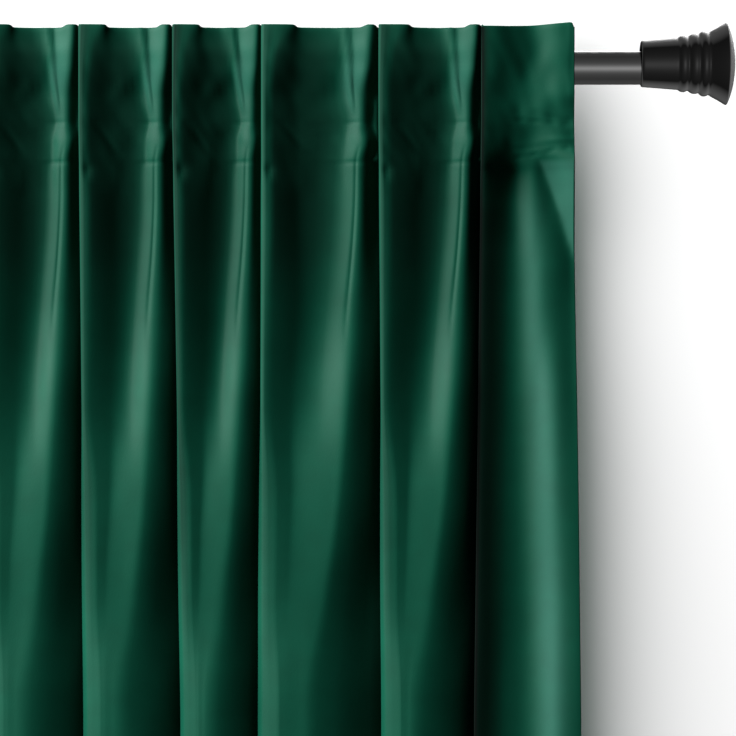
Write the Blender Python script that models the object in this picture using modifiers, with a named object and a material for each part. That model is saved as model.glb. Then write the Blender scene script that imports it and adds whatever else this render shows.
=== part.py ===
"""Velvet drape on a curtain rod: one gathered panel held by back tabs.

Units are metres and +Z is up. The origin lies on the rod's axis at the rod's mid-length,
and the velvet's face looks along -Y. The panel is a loft through plan sections: each
section is a smooth curve through a few points of every fold, and its shape at a height is
read from the table SECTIONS. A fold's cloth starts at a free standing front edge, turns
back into a trough that a back tab holds against the rod, climbs to a crest and drops into
a narrow slit behind the next fold's edge. Towards the hem the trough fills up, so that
each fold becomes one leaning roll.
"""

import math

import bmesh
import bpy

# ---- Driving dimensions ----
FIT_GAP = 0.0003          # between neighbouring pieces
ROD_RADIUS = 0.0125
ROD_WALL = 0.0012
ROD_SIDES = 32
CLOTH_THICKNESS = 0.0018
TAB_THICKNESS = 0.0012
TAB_WIDTH = 0.018
TAB_SEAM = 0.007          # length of a tab's sewn ends
TOP_Z = 0.0275            # folded top edge of the heading
HEM_Z = -2.4225
PINCH_Z = -0.0420         # upper row of stitching across the heading
SEAM_Z = -0.0715          # lower row of stitching, the end of the heading

# The cloth's middle surface: its troughs touch the rod and its fronts stand before it.
TROUGH_DEPTH = 0.0175     # behind the fronts, from the rod's height down
TOP_DEPTH = 0.0086        # and from the top edge down to TOP_BAND, where it leans forward
TOP_BAND = 0.0130
TROUGH_Y = -(ROD_RADIUS + FIT_GAP + CLOTH_THICKNESS / 2)
FRONT_Y = TROUGH_Y - TROUGH_DEPTH

# One row per fold, left to right. edge: X of its front edge at the heading. front: width
# of its flat front there. lean: how far the edge has moved sideways at LEAN_Z. gap: how
# far before the next edge its ridge ends, flank: run of the slope up to the ridge, and
# full: its depth below the heading, each as a share of the usual.
FOLDS = [
    dict(edge=-0.3530, front=0.0170, lean=-0.0050, gap=0.95, flank=1.0, full=0.96),
    dict(edge=-0.2880, front=0.0190, lean=-0.0030, gap=1.08, flank=1.1, full=1.04),
    dict(edge=-0.2160, front=0.0165, lean=0.0020, gap=1.00, flank=0.9, full=0.97),
    dict(edge=-0.1490, front=0.0200, lean=-0.0010, gap=1.05, flank=1.1, full=1.03),
    dict(edge=-0.0778, front=0.0180, lean=0.0030, gap=1.00, flank=1.0, full=1.00),
    dict(edge=-0.0075, front=0.0183, lean=0.0040, gap=1.00, flank=1.0, full=1.00),
    dict(edge=0.0617, front=0.0161, lean=0.0065, gap=0.78, flank=0.9, full=0.95),
    dict(edge=0.1273, front=0.0215, lean=-0.0019, gap=1.25, flank=1.6, full=1.05),
    dict(edge=0.2139, front=0.0202, lean=0.0026, gap=0.97, flank=1.1, full=1.00),
]
END_PANEL = dict(edge=0.2899, lean=-0.0055)
END_EDGE = dict(edge=0.3574, lean=0.0047)
LEAN_Z = -0.480
HEM_LEAN = 1.35           # lean at the hem, as a share of that at LEAN_Z

# One row per height, lengths in metres, depths counted back from the front.
# round: softness of the front edge. front: flat part of the fold's front width, a share.
# tilt: how far that part turns back, a share of it. bow, level, ledge: shape of the way
# down into the trough, from a curve to a step. trough: its depth. bed: depth at the foot
# of the ridge's slope, a share of the trough's. flank: run of that slope. bend, lift: its
# middle, as shares of the run and the climb. shelf: depth where the ridge starts. crest:
# the ridge's width. back: depth where it ends. gap: from there to the next edge. bank:
# steepness of the fall into the slit. slit: its depth. tuck: how far it reaches behind
# the next edge.
SECTIONS = [
    dict(z=TOP_Z, round=0.0, front=0.52, tilt=0.06, bow=1.2, level=1.35, ledge=0.8, trough=TOP_DEPTH,
         bed=0.75, flank=0.03, bend=0.7, lift=-0.5, shelf=0.0056, crest=0.0087, back=0.0008, gap=0.0057,
         bank=0.55, slit=0.013, tuck=0.0005),
    dict(z=0.013, round=0.0, front=0.4, tilt=0.06, bow=1.3, level=1.2, ledge=0.2, trough=TOP_DEPTH,
         bed=0.8, flank=0.0265, bend=0.72, lift=-0.6, shelf=0.0062, crest=0.0088, back=0.0012, gap=0.0067,
         bank=0.6, slit=0.014, tuck=0.0005),
    dict(z=0.0, round=0.0, front=0.3, tilt=0.1, bow=1.2, level=1.3, ledge=0.1, trough=0.0118, bed=0.76,
         flank=0.0235, bend=0.72, lift=-0.3, shelf=0.01, crest=0.01, back=0.0036, gap=0.0077,
         bank=0.6, slit=0.0155, tuck=0.0005),
    dict(z=-0.024, round=0.0, front=0.25, tilt=0.16, bow=1.2, level=1.25, ledge=0.0, trough=TROUGH_DEPTH,
         bed=0.72, flank=0.0235, bend=0.77, lift=-1.0, shelf=0.0162, crest=0.0078, back=0.011,
         gap=0.0109, bank=0.65, slit=0.022, tuck=0.0005),
    dict(z=PINCH_Z, round=0.0, front=0.25, tilt=0.16, bow=1.2, level=1.25, ledge=0.0,
         trough=TROUGH_DEPTH, bed=0.72, flank=0.0235, bend=0.79, lift=-1.0, shelf=0.0158, crest=0.0052,
         back=0.012, gap=0.011, bank=0.75, slit=0.024, tuck=0.0005),
    dict(z=-0.056, round=0.0, front=0.25, tilt=0.16, bow=1.2, level=1.25, ledge=0.0, trough=TROUGH_DEPTH,
         bed=0.72, flank=0.0225, bend=0.76, lift=-1.0, shelf=0.015, crest=0.0088, back=0.01, gap=0.0092,
         bank=0.8, slit=0.0255, tuck=0.001),
    dict(z=SEAM_Z, round=0.0, front=0.25, tilt=0.14, bow=1.25, level=1.2, ledge=0.0, trough=TROUGH_DEPTH,
         bed=0.72, flank=0.0225, bend=0.74, lift=-1.0, shelf=0.015, crest=0.007, back=0.011, gap=0.0115,
         bank=0.95, slit=0.0265, tuck=0.0015),
    dict(z=-0.1, round=0.001, front=0.3, tilt=0.1, bow=1.25, level=1.0, ledge=0.0, trough=0.018,
         bed=0.76, flank=0.022, bend=0.68, lift=-0.45, shelf=0.015, crest=0.007, back=0.011, gap=0.012,
         bank=0.95, slit=0.0275, tuck=0.002),
    dict(z=-0.173, round=0.001, front=0.25, tilt=0.1, bow=1.25, level=1.05, ledge=0.0, trough=0.0155,
         bed=0.8, flank=0.018, bend=0.58, lift=-0.15, shelf=0.0115, crest=0.008, back=0.0085, gap=0.0156,
         bank=0.55, slit=0.027, tuck=0.003),
    dict(z=-0.246, round=0.001, front=0.22, tilt=0.1, bow=1.2, level=1.05, ledge=0.0, trough=0.0095,
         bed=0.84, flank=0.0195, bend=0.52, lift=0.0, shelf=0.0012, crest=0.0065, back=-0.0008,
         gap=0.019, bank=0.5, slit=0.026, tuck=0.0035),
    dict(z=-0.32, round=0.006, front=0.5, tilt=0.0, bow=1.1, level=1.0, ledge=0.0, trough=0.0026,
         bed=0.95, flank=0.019, bend=0.6, lift=0.6, shelf=-0.001, crest=0.005, back=-0.002, gap=0.0245,
         bank=0.42, slit=0.026, tuck=0.004),
    dict(z=-0.393, round=0.009, front=0.5, tilt=-0.02, bow=1.0, level=1.0, ledge=0.0, trough=0.0006,
         bed=1.0, flank=0.018, bend=0.6, lift=0.42, shelf=-0.0002, crest=0.006, back=0.0, gap=0.0315,
         bank=0.47, slit=0.027, tuck=0.0045),
    dict(z=-0.466, round=0.008, front=0.65, tilt=-0.28, bow=1.0, level=1.0, ledge=0.0, trough=-0.004,
         bed=1.0, flank=0.012, bend=0.6, lift=0.42, shelf=-0.0048, crest=0.008, back=-0.0047, gap=0.04,
         bank=0.38, slit=0.027, tuck=0.005),
    dict(z=-1.1, round=0.008, front=0.6, tilt=-0.18, bow=1.0, level=1.0, ledge=0.0, trough=-0.0038,
         bed=1.0, flank=0.014, bend=0.6, lift=0.42, shelf=-0.0041, crest=0.008, back=-0.0036, gap=0.0415,
         bank=0.4, slit=0.027, tuck=0.005),
    dict(z=-1.8, round=0.008, front=0.6, tilt=-0.12, bow=1.0, level=1.0, ledge=0.0, trough=-0.0028,
         bed=1.0, flank=0.014, bend=0.6, lift=0.42, shelf=-0.0031, crest=0.009, back=-0.0026, gap=0.04,
         bank=0.42, slit=0.027, tuck=0.0045),
    dict(z=HEM_Z, round=0.008, front=0.6, tilt=-0.08, bow=1.0, level=1.0, ledge=0.0, trough=-0.002,
         bed=1.0, flank=0.014, bend=0.6, lift=0.42, shelf=-0.0023, crest=0.009, back=-0.0018, gap=0.038,
         bank=0.45, slit=0.027, tuck=0.004),
]
# The end panel: depths in mm at END_STATIONS, which are in mm from its front edge.
END_STATIONS = (3, 9, 15, 21, 27, 33, 39, 45, 51, 57, 63)
END_SECTIONS = [
    dict(z=TOP_Z, depths=(2.5, 3.5, 5.6, 7.8, 9.5, 11.2, 11.8, 9.8, 7.2, 4.6, 4.2), edge=3.8),
    dict(z=0.010, depths=(2.5, 3.3, 5.3, 7.6, 9.2, 10.4, 11.8, 11.2, 8.2, 6.0, 5.4), edge=5.4),
    dict(z=-0.005, depths=(2.5, 3.7, 5.9, 8.0, 9.8, 11.4, 11.2, 10.2, 9.5, 7.2, 6.6), edge=6.8),
    dict(z=-0.020, depths=(2.5, 4.6, 6.4, 8.6, 10.0, 9.9, 9.7, 9.3, 8.0, 6.5, 6.2), edge=6.0),
    dict(z=-0.031, depths=(2.6, 4.8, 6.6, 8.5, 10.2, 9.5, 9.1, 9.0, 9.3, 8.2, 8.7), edge=8.8),
    dict(z=PINCH_Z, depths=(3.0, 5.2, 7.1, 9.1, 10.4, 10.6, 10.8, 10.6, 10.4, 9.4, 9.8), edge=10.0),
    dict(z=-0.052, depths=(4.0, 6.4, 8.4, 11.0, 12.0, 12.9, 12.8, 11.6, 10.6, 9.2, 9.2), edge=9.4),
    dict(z=-0.061, depths=(5.5, 8.0, 10.6, 13.8, 14.2, 14.2, 13.6, 13.2, 13.2, 13.2, 13.2), edge=13.2),
    dict(z=SEAM_Z, depths=(8.0, 11.5, 15.0, 18.0, 19.0, 17.0, 15.8, 17.2, 17.5, 17.8, 18.0), edge=18.0),
    dict(z=-0.080, depths=(11.5, 15.5, 19.6, 22.8, 23.6, 20.6, 17.6, 19.3, 20.4, 20.8, 20.8), edge=20.8),
    dict(z=-0.099, depths=(14.5, 18.0, 21.8, 25.0, 26.0, 22.8, 19.4, 19.9, 21.5, 22.2, 22.4), edge=22.4),
    dict(z=-0.125, depths=(14.8, 18.2, 21.6, 24.6, 25.8, 23.8, 20.6, 19.8, 20.2, 21.6, 23.4), edge=23.8),
    dict(z=-0.140, depths=(14.0, 17.2, 20.4, 23.2, 24.4, 23.2, 20.8, 19.0, 19.0, 19.8, 21.4), edge=22.6),
    dict(z=-0.173, depths=(12.5, 15.5, 18.5, 21.1, 22.4, 21.8, 19.6, 17.4, 17.2, 18.0, 19.2), edge=20.2),
    dict(z=-0.248, depths=(8.0, 11.0, 14.0, 16.4, 17.6, 17.2, 15.2, 12.8, 9.6, 8.2, 9.0), edge=10.2),
    dict(z=-0.322, depths=(6.0, 9.0, 11.8, 14.1, 15.5, 15.8, 14.4, 11.5, 8.4, 5.7, 5.1), edge=5.4),
    dict(z=-0.397, depths=(5.0, 7.8, 10.4, 12.6, 14.1, 14.9, 14.5, 12.4, 9.3, 6.2, 3.9), edge=3.5),
    dict(z=-0.472, depths=(4.0, 6.6, 9.1, 11.2, 12.6, 13.5, 13.4, 11.8, 8.8, 5.4, 3.1), edge=2.6),
    dict(z=HEM_Z, depths=(4.0, 6.6, 9.2, 11.4, 12.8, 13.4, 13.0, 11.4, 8.7, 5.8, 3.8), edge=3.4),
]
EDGE_LIP = 0.0006         # how far a fold's edge bulges past its line
HAIRPIN = 0.0045          # width of the turn at the bottom of a slit
DEEPEST_POINT = 7         # a fold's point in the deepest part of its trough
SLIT_POINT = 12           # its first point in the slit
FOLD_POINTS = 16
SMOOTH_ROWS = (-0.1000, -0.3930)   # heights whose shape the rows beside them already give

# ---- Finial, turned about the rod's axis: place along it and radius ----
FINIAL_START = 0.4090     # X of the right finial's open end
FINIAL_RISE = 0.0030      # its axis lies above the rod's
SOCKET_DEPTH = 0.0220
FINIAL_SEGMENTS = 32
FINIAL_LENGTH = 0.0702
FINIAL_OUTLINE = [
    dict(part="sleeve", along=0.0000, radius=0.0169),
    dict(part="sleeve", along=0.0006, radius=0.0174),
    dict(part="groove 1", along=0.0276, radius=0.0193),
    dict(part="bead 1", along=0.0315, radius=0.0210),
    dict(part="groove 2", along=0.0351, radius=0.0199),
    dict(part="bead 2", along=0.0393, radius=0.0225),
    dict(part="groove 3", along=0.0429, radius=0.0220),
    dict(part="bead 3", along=0.0471, radius=0.0242),
    dict(part="groove 4", along=0.0504, radius=0.0231),
    dict(part="flare", along=0.0517, radius=0.0247),
    dict(part="rim", along=0.0634, radius=0.0307),
    dict(part="dome", along=0.0668, radius=0.0225),
    dict(part="dome", along=0.0692, radius=0.0115),
]


def smooth_value(rows, column, z):
    """Read a column at height z: a monotone cubic through the table's rows."""
    xs = [-row["z"] for row in rows]
    ys = [row[column] for row in rows]
    return smooth_curve(xs, ys, -z)


def smooth_curve(xs, ys, x):
    """A monotone cubic through the points (xs, ys), held level outside them."""
    x = min(max(x, xs[0]), xs[-1])
    slopes = [(ys[i + 1] - ys[i]) / (xs[i + 1] - xs[i]) for i in range(len(xs) - 1)]
    tangents = [slopes[0]] + [0.0] * (len(xs) - 2) + [slopes[-1]]
    for i in range(1, len(xs) - 1):
        before, after = slopes[i - 1], slopes[i]
        if before * after > 0.0:
            tangents[i] = 2.0 * before * after / (before + after)
    i = max(k for k in range(len(xs) - 1) if x >= xs[k])
    step = xs[i + 1] - xs[i]
    t = (x - xs[i]) / step
    return (
        (2 * t**3 - 3 * t**2 + 1) * ys[i]
        + (t**3 - 2 * t**2 + t) * step * tangents[i]
        + (3 * t**2 - 2 * t**3) * ys[i + 1]
        + (t**3 - t**2) * step * tangents[i + 1]
    )


def read_row(rows, z):
    """All the columns of a table at height z."""
    return {name: smooth_value(rows, name, z) for name in rows[0] if name != "z"}


def edge_x(fold, z):
    """X of a fold's front edge at height z, which leans sideways below the heading."""
    if z >= PINCH_Z:
        return fold["edge"]
    share = min((PINCH_Z - z) / (PINCH_Z - LEAN_Z), 1.0)
    share += max(0.0, (LEAN_Z - z) / (LEAN_Z - HEM_Z)) * (HEM_LEAN - 1.0)
    return fold["edge"] + fold["lean"] * share


def heading_share(z):
    """1 in the heading, falling smoothly to 0 at LEAN_Z."""
    share = min(max((z - LEAN_Z) / (SEAM_Z - LEAN_Z), 0.0), 1.0)
    return share * share * (3.0 - 2.0 * share)


def fold_frame(fold, next_fold, z):
    """Where one fold's main lines run at height z: x from its front edge, and depths."""
    row = read_row(SECTIONS, z)
    start = edge_x(fold, z)
    pitch = edge_x(next_fold, z) - start
    full = 1.0 + (fold["full"] - 1.0) * (1.0 - heading_share(z))
    front = fold["front"] * row["front"]
    crest_end = pitch - row["gap"] * fold["gap"]
    crest_start = crest_end - row["crest"]
    foot = crest_start - row["flank"] * fold["flank"]
    foot = max(foot, front + 0.35 * (crest_start - front))
    row.update(
        start=start, pitch=pitch, front=front, foot=foot, crest_start=crest_start,
        crest_end=crest_end, trough=row["trough"] * full, slit=row["slit"] * full,
        shoulder=row["tilt"] * front, fall=pitch + row["tuck"] - crest_end,
    )
    return row


def fold_points(fold, next_fold, z):
    """Plan points of one fold at height z: (x, depth behind the front) from left to right."""
    row = fold_frame(fold, next_fold, z)
    front, foot, crest_start = row["front"], row["foot"], row["crest_start"]
    trough, slit, shelf = row["trough"], row["slit"], row["shelf"]
    end = row["pitch"] + row["tuck"]

    def sunk(share, ledge_way, ledge_drop):
        """Point on the way down from the front to the foot of the slope."""
        way = share + (ledge_way - share) * row["ledge"]
        soft = 1.0 - (1.0 - share ** row["bow"]) ** row["level"]
        drop = soft + (ledge_drop - soft) * row["ledge"]
        depth = row["shoulder"] + (trough * row["bed"] - row["shoulder"]) * drop
        return (front + (foot - front) * way, depth)

    def fallen(share, bend):
        """Point on the bank right of the crest."""
        x = row["crest_end"] + row["fall"] * share
        return (x, row["back"] + row["bank"] * row["fall"] * share * bend)

    points = [
        (-EDGE_LIP - row["round"] * 0.3, EDGE_LIP * 1.5 + row["round"] * 0.3),
        (EDGE_LIP + row["round"] * 0.25, row["round"] * 0.08),
        (front, row["shoulder"]),
        sunk(0.12, 0.52, 0.18),
        sunk(0.40, 0.67, 0.34),
        sunk(0.72, 0.68, 0.66),
        (foot, trough * row["bed"]),
        (foot + (crest_start - foot) * row["bend"], trough + (shelf - trough) * row["lift"]),
        (crest_start, shelf),
        (row["crest_end"], row["back"]),
        fallen(0.35, 0.75),
        fallen(0.75, 1.05),
        (end, row["back"] + (slit - row["back"]) * 0.7),
        (end, slit),
        (end + HAIRPIN, slit),
        (end + HAIRPIN * 0.4, slit * 0.28),
    ]
    return [(row["start"] + x, depth) for x, depth in points]


def depth_limit(z):
    """How far back the troughs may reach: the tabs are sewn flat against them."""
    if z < SEAM_Z:
        return 1.0
    share = min(max((TOP_BAND - z) / TOP_BAND, 0.0), 1.0)
    return TOP_DEPTH + (TROUGH_DEPTH - TOP_DEPTH) * share


def end_points(z):
    """Plan points of the end panel, from its front edge to the side edge of the cloth."""
    heights = [-row["z"] for row in END_SECTIONS]
    start = edge_x(END_PANEL, z)
    width = edge_x(END_EDGE, z) - start
    depths = [
        smooth_curve(heights, [row["depths"][k] for row in END_SECTIONS], -z) / 1000
        for k in range(len(END_STATIONS))
    ]
    edge = smooth_value(END_SECTIONS, "edge", z) / 1000
    points = [(-EDGE_LIP, depths[0] + EDGE_LIP), (EDGE_LIP, depths[0] - EDGE_LIP * 0.5)]
    points += [(x / 1000, depth) for x, depth in zip(END_STATIONS, depths)]
    points += [(width - 0.003, edge), (width, edge + 0.0002)]
    return [(start + x, depth) for x, depth in points]


def cage(z):
    """All the plan points of the cloth at height z."""
    points = []
    for fold, next_fold in zip(FOLDS, FOLDS[1:] + [END_PANEL]):
        points += fold_points(fold, next_fold, z)
    end = end_points(z)
    x, depth = points[-1]
    points[-1] = (x, max(depth, end[0][1] - 0.001))
    return points + end


def section(z):
    """The cloth's plan curve at height z, one smoothed point for each plan point."""
    points = cage(z)
    smooth = [points[0]]
    for number in range(1, len(points) - 1):
        three = points[number - 1:number + 2]
        x, depth = ((a + 4 * b + c) / 6 for a, b, c in zip(*three))
        in_slit = number < FOLD_POINTS * len(FOLDS) and number % FOLD_POINTS >= SLIT_POINT
        if not in_slit and number < FOLD_POINTS * len(FOLDS):
            depth = min(depth, depth_limit(z))
        smooth.append((x, depth))
    smooth.append(points[-1])
    return [(x, FRONT_Y + depth) for x, depth in smooth]


def new_object(name, mesh, material, collection):
    """Put a mesh in the scene with its material."""
    mesh.materials.append(material)
    piece = bpy.data.objects.new(name, mesh)
    collection.objects.link(piece)
    return piece


def ribbon_mesh(name, rows):
    """Open sheet through rows of points, each row of the same length."""
    mesh = bpy.data.meshes.new(name)
    grid = bmesh.new()
    lines = [[grid.verts.new(point) for point in row] for row in rows]
    for upper, lower in zip(lines, lines[1:]):
        for i in range(len(upper) - 1):
            grid.faces.new((upper[i], lower[i], lower[i + 1], upper[i + 1]))
    grid.to_mesh(mesh)
    grid.free()
    return mesh


def thicken(piece, thickness):
    """Give an open sheet its thickness, half to each side."""
    shell = piece.modifiers.new("thickness", "SOLIDIFY")
    shell.thickness = thickness
    shell.offset = 0.0


def make_drape(velvet, collection):
    """The gathered panel, hems included."""
    heights = [row["z"] for row in SECTIONS if row["z"] not in SMOOTH_ROWS]
    rows = [[(x, y, z) for x, y in section(z)] for z in heights]
    drape = new_object("drape_panel", ribbon_mesh("drape_panel", rows), velvet, collection)
    thicken(drape, CLOTH_THICKNESS)
    return drape


def tab_path():
    """Side view of a back tab: sewn end, over the rod and round its back, sewn end."""
    sewn_y = TROUGH_Y + CLOTH_THICKNESS / 2 + FIT_GAP + TAB_THICKNESS / 2
    radius = ROD_RADIUS + FIT_GAP + TAB_THICKNESS / 2
    top_y = sewn_y - (TROUGH_DEPTH - TOP_DEPTH)
    upper = (top_y, TOP_Z - TAB_SEAM - 0.001)
    lower = (sewn_y, PINCH_Z + TAB_SEAM)

    def tangent(point, side):
        """Angle at which the line from a point touches the tab's turn round the rod."""
        reach = math.hypot(*point)
        return math.atan2(point[1], point[0]) + side * math.acos(radius / reach)

    first = tangent(upper, -1)
    last = tangent(lower, 1) - 2.0 * math.pi
    while last > first:
        last -= 2.0 * math.pi
    while first - last > 2.0 * math.pi:
        last += 2.0 * math.pi
    steps = 10
    turn = [first + (last - first) * i / steps for i in range(steps + 1)]
    path = [(top_y, upper[1] + TAB_SEAM), upper]
    path += [(radius * math.cos(a), radius * math.sin(a)) for a in turn]
    path += [lower, (sewn_y, PINCH_Z)]
    return path


def trough_centres():
    """X of the deepest part of each fold's trough, between the tabs' two seams."""
    centres = []
    for fold, next_fold in zip(FOLDS, FOLDS[1:] + [END_PANEL]):
        upper = fold_points(fold, next_fold, TOP_Z)[DEEPEST_POINT]
        lower = fold_points(fold, next_fold, PINCH_Z)[DEEPEST_POINT]
        centres.append((upper[0] + lower[0]) / 2)
    return centres


def make_tabs(lining, collection):
    """One back tab for each trough, sewn above and below the rod."""
    path = tab_path()
    for number, centre in enumerate(trough_centres(), start=1):
        sides = (centre - TAB_WIDTH / 2, centre + TAB_WIDTH / 2)
        rows = [[(x, y, z) for x in sides] for y, z in path]
        name = f"back_tab_{number:02d}"
        tab = new_object(name, ribbon_mesh(name, rows), lining, collection)
        thicken(tab, TAB_THICKNESS)


def make_rod(metal, collection):
    """The rod: a round tube whose ends stand in the finials' sockets."""
    reach = FINIAL_START + SOCKET_DEPTH - 0.001
    bpy.ops.mesh.primitive_cylinder_add(
        vertices=ROD_SIDES, radius=ROD_RADIUS, depth=2 * reach, end_fill_type="NOTHING",
        rotation=(0.0, math.pi / 2, 0.0),
    )
    rod = bpy.context.object
    rod.name = "rod"
    bpy.ops.object.transform_apply(location=False, rotation=True, scale=False)
    shell = rod.modifiers.new("wall", "SOLIDIFY")
    shell.thickness = ROD_WALL
    shell.offset = -1.0
    rod.data.materials.append(metal)
    move_to(rod, collection)
    rod.data.shade_smooth()
    return rod


def move_to(piece, collection):
    """Keep an object in the drape's collection only."""
    for owner in list(piece.users_collection):
        owner.objects.unlink(piece)
    collection.objects.link(piece)


def finial_profile():
    """Closed outline of a finial from its tip, over the outside, to its flat end."""
    profile = [(FINIAL_LENGTH, 0.0)]
    profile += [(row["along"], row["radius"]) for row in reversed(FINIAL_OUTLINE)]
    return profile + [(0.0, 0.0)]


def make_finial(name, side, plastic, collection, cutters):
    """A turned finial bored for the rod; side is 1 at the rod's right end and -1 at its left."""
    mesh = bpy.data.meshes.new(name)
    outline = bmesh.new()
    points = [outline.verts.new((radius, 0.0, along)) for along, radius in finial_profile()]
    for start, end in zip(points, points[1:]):
        outline.edges.new((start, end))
    outline.to_mesh(mesh)
    outline.free()
    finial = new_object(name, mesh, plastic, collection)
    turned = finial.modifiers.new("turned", "SCREW")
    turned.angle = 2.0 * math.pi
    turned.steps = FINIAL_SEGMENTS
    turned.render_steps = FINIAL_SEGMENTS
    turned.use_merge_vertices = True
    turned.merge_threshold = 0.0001
    finial.rotation_euler = (0.0, side * math.pi / 2, 0.0)
    finial.location = (side * FINIAL_START, 0.0, FINIAL_RISE)
    bpy.ops.mesh.primitive_cylinder_add(
        vertices=ROD_SIDES, radius=ROD_RADIUS + FIT_GAP, depth=2 * SOCKET_DEPTH,
        location=(side * FINIAL_START, 0.0, 0.0), rotation=(0.0, math.pi / 2, 0.0),
    )
    bore = bpy.context.object
    bore.name = name + "_bore"
    bore.hide_render = True
    bore.display_type = "WIRE"
    move_to(bore, cutters)
    socket = finial.modifiers.new("socket", "BOOLEAN")
    socket.operation = "DIFFERENCE"
    socket.object = bore
    return finial


def make_material(name, colour, roughness, metallic=0.0):
    """A plain Principled material."""
    material = bpy.data.materials.new(name)
    material.use_nodes = True
    shader = material.node_tree.nodes["Principled BSDF"]
    shader.inputs["Base Color"].default_value = (*colour, 1.0)
    shader.inputs["Roughness"].default_value = roughness
    shader.inputs["Metallic"].default_value = metallic
    return material


def main():
    for old in list(bpy.data.objects):
        bpy.data.objects.remove(old, do_unlink=True)
    collection = bpy.data.collections.new("velvet_drape")
    bpy.context.scene.collection.children.link(collection)
    cutters = bpy.data.collections.new("cutters")
    bpy.context.scene.collection.children.link(cutters)
    velvet = make_material("velvet", (0.006, 0.080, 0.043), 0.9)
    metal = make_material("rod_metal", (0.030, 0.030, 0.031), 0.35, 1.0)
    plastic = make_material("finial_black", (0.010, 0.010, 0.011), 0.4)
    make_drape(velvet, collection)
    make_tabs(velvet, collection)
    make_rod(metal, collection)
    make_finial("finial_right", 1, plastic, collection, cutters)
    make_finial("finial_left", -1, plastic, collection, cutters)


main()
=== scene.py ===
"""Looks of the velvet drape on its rod: cloth with its folds, stitching, tabs, rod, finials.

The drape's plan sections are worked out as in the part's source, from the same tables, and
sampled finely. Creases, puckers and hems are added in the cloth's own sizes. Painted shade
in the slits, the troughs and on the fold edges, and painted highlight on the crests and on
the end panel's ridge and corner, are stored on the cloth as a layer that scales its colour.
Metres, +Z up.
"""

import math

import bmesh
import bpy
from mathutils import Matrix, Vector, noise


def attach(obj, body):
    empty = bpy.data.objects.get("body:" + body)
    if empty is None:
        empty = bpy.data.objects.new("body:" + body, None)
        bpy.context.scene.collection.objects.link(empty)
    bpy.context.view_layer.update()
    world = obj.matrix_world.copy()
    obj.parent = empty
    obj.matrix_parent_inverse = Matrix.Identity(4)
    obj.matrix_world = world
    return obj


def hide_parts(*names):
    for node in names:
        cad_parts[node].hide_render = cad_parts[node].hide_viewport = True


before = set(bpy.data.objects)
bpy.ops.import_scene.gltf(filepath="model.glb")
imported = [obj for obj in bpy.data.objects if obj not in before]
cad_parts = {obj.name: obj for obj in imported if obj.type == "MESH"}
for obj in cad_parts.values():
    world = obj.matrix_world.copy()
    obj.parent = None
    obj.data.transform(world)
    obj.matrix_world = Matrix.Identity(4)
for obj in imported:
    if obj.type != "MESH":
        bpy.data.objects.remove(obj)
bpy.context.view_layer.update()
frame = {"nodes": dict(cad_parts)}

# ---- Cloth sizes, as in the part's source ----
FIT_GAP = 0.0003
ROD_RADIUS = 0.0125
CLOTH_THICKNESS = 0.0018
TOP_Z = 0.0275
HEM_Z = -2.4225
PINCH_Z = -0.0420
SEAM_Z = -0.0715
TROUGH_DEPTH = 0.0175
TOP_DEPTH = 0.0086
TOP_BAND = 0.0130
TROUGH_Y = -(ROD_RADIUS + FIT_GAP + CLOTH_THICKNESS / 2)
FRONT_Y = TROUGH_Y - TROUGH_DEPTH

# One row per fold, left to right. edge: X of its front edge at the heading. front: width
# of its flat front there. lean: how far the edge has moved sideways at LEAN_Z. gap: how
# far before the next edge its ridge ends, flank: run of the slope up to the ridge, and
# full: its depth below the heading, each as a share of the usual.
FOLDS = [
    dict(edge=-0.3530, front=0.0170, lean=-0.0050, gap=0.95, flank=1.0, full=0.96),
    dict(edge=-0.2880, front=0.0190, lean=-0.0030, gap=1.08, flank=1.1, full=1.04),
    dict(edge=-0.2160, front=0.0165, lean=0.0020, gap=1.00, flank=0.9, full=0.97),
    dict(edge=-0.1490, front=0.0200, lean=-0.0010, gap=1.05, flank=1.1, full=1.03),
    dict(edge=-0.0778, front=0.0180, lean=0.0030, gap=1.00, flank=1.0, full=1.00),
    dict(edge=-0.0075, front=0.0183, lean=0.0040, gap=1.00, flank=1.0, full=1.00),
    dict(edge=0.0617, front=0.0161, lean=0.0065, gap=0.78, flank=0.9, full=0.95),
    dict(edge=0.1273, front=0.0215, lean=-0.0019, gap=1.25, flank=1.6, full=1.05),
    dict(edge=0.2139, front=0.0202, lean=0.0026, gap=0.97, flank=1.1, full=1.00),
]
END_PANEL = dict(edge=0.2899, lean=-0.0055)
END_EDGE = dict(edge=0.3574, lean=0.0047)
LEAN_Z = -0.480
HEM_LEAN = 1.35           # lean at the hem, as a share of that at LEAN_Z

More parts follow.
